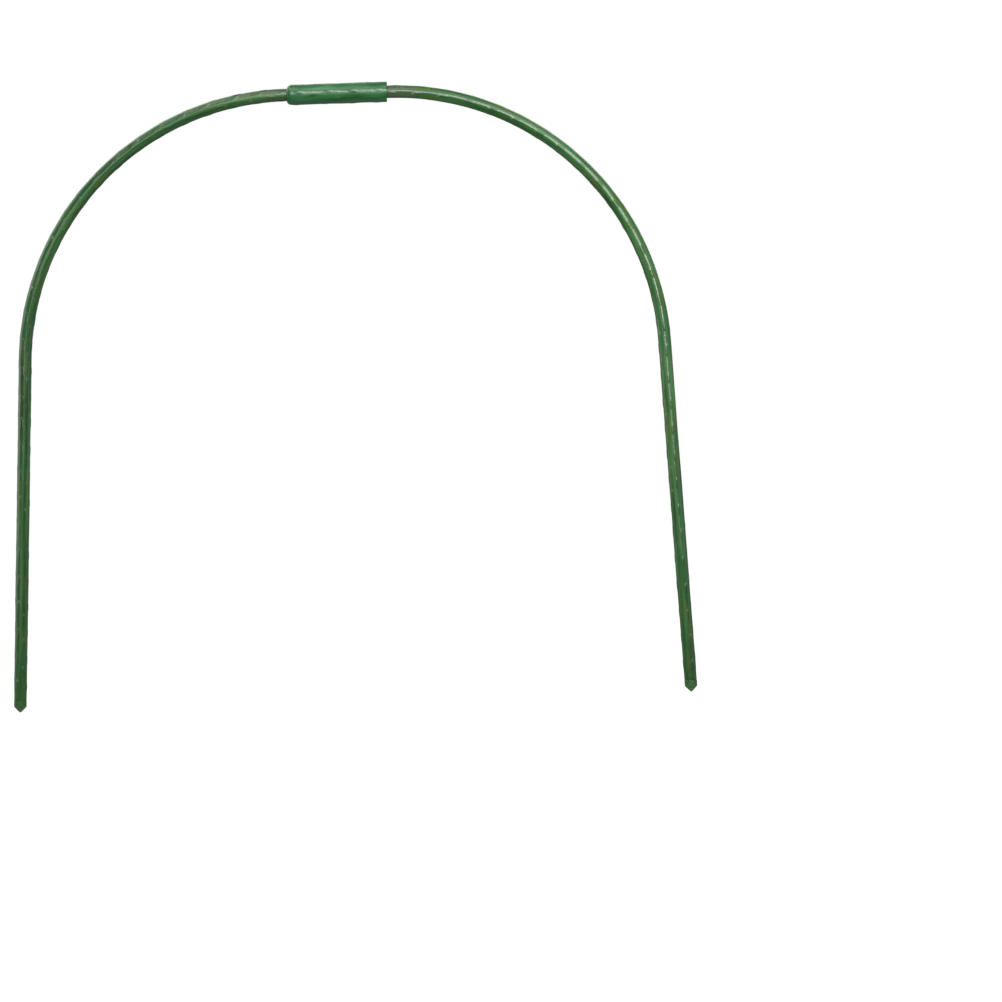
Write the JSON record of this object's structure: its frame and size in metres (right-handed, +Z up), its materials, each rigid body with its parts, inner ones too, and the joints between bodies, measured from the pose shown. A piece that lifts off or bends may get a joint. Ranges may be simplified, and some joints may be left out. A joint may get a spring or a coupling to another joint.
{
  "type": "garden hoop arch",
  "caption": "Garden arch of plastic-coated steel rod, pushed together in a soft sleeve at the crown, with pointed lower ends that press into the soil to carry netting or climbers.",
  "frame": {"origin": "midway between the tips of the two ground points, at their level", "axes": "+X across the arch from the left leg to the right leg, +Y away from a viewer in front, +Z up"},
  "size_m": [0.5996, 0.018, 0.543],
  "materials": {
    "rod_coating": "dark green polyethylene skin with moulded nubs, satin to glossy",
    "ground_point": "moulded green plastic, satin",
    "sleeve": "emerald green soft plastic, slightly wavy, semi-gloss",
    "steel_tube": "thin-walled welded tube, bright zinc",
    "end_plug": "moulded black plastic"
  },
  "bodies": {
    "left_half": {"left_core_tube": "steel_tube", "left_coating": "rod_coating", "left_ground_point": "ground_point", "left_end_plug": "end_plug"},
    "connector": {"connector_sleeve": "sleeve"},
    "right_half": {"right_core_tube": "steel_tube", "right_coating": "rod_coating", "right_ground_point": "ground_point", "right_end_plug": "end_plug"}
  },
  "joints": [
    {"name": "sleeve_twist", "type": "hinge", "parent": "left_half", "child": "connector", "pos_m": [0, 0, 0.534], "axis": [1, 0, 0], "continuous": true},
    {"name": "right_pull", "type": "slide", "parent": "connector", "child": "right_half", "axis": [1, 0, 0], "range_m": [0, 0.043]}
  ]
}
